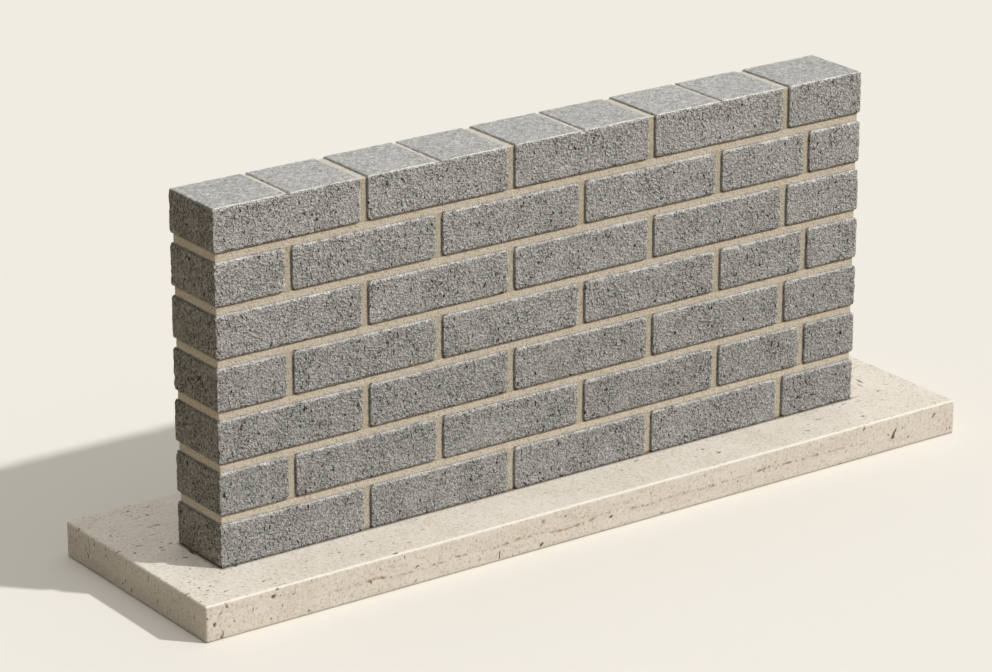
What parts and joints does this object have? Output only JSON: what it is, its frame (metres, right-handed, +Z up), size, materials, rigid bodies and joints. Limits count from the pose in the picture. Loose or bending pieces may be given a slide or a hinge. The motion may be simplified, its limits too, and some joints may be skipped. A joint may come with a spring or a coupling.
{
  "type": "boundary wall",
  "caption": "Short free-standing wall of rough grey bricks in stretcher bond with raked mortar joints, standing on a pale honed stone plinth slab.",
  "frame": {"origin": "middle of the underside of the plinth slab", "axes": "+X along the wall, -Y out of the face that is looked at, +Z up"},
  "size_m": [1.243, 0.345, 0.53],
  "materials": {
    "brick": "rough split face, matt",
    "mortar": "sandy, raked, matt",
    "travertine": "honed with open pits, low sheen"
  },
  "bodies": {
    "root": {"bed_joints": "mortar", "course_1_closer": "brick", "course_1_stretcher_1": "brick", "course_1_stretcher_2": "brick", "course_1_stretcher_3": "brick", "course_1_stretcher_4": "brick", "course_2_cut_brick": "brick", "course_2_end_bat": "brick", "course_2_half_bat": "brick", "course_2_stretcher_1": "brick", "course_2_stretcher_2": "brick", "course_2_stretcher_3": "brick", "course_3_closer": "brick", "course_3_stretcher_1": "brick", "course_3_stretcher_2": "brick", "course_3_stretcher_3": "brick", "course_3_stretcher_4": "brick", "course_4_cut_brick": "brick", "course_4_end_bat": "brick", "course_4_half_bat": "brick", "course_4_stretcher_1": "brick", "course_4_stretcher_2": "brick", "course_4_stretcher_3": "brick", "course_5_closer": "brick", "course_5_stretcher_1": "brick", "course_5_stretcher_2": "brick", "course_5_stretcher_3": "brick", "course_5_stretcher_4": "brick", "course_6_cut_brick": "brick", "course_6_end_bat": "brick", "course_6_half_bat": "brick", "course_6_stretcher_1": "brick", "course_6_stretcher_2": "brick", "course_6_stretcher_3": "brick", "course_7_closer": "brick", "course_7_stretcher_1": "brick", "course_7_stretcher_2": "brick", "course_7_stretcher_3": "brick", "course_7_stretcher_4": "brick", "perpend_joints": "mortar", "plinth_slab": "travertine", "sham_joints": "mortar"}
  },
  "joints": []
}
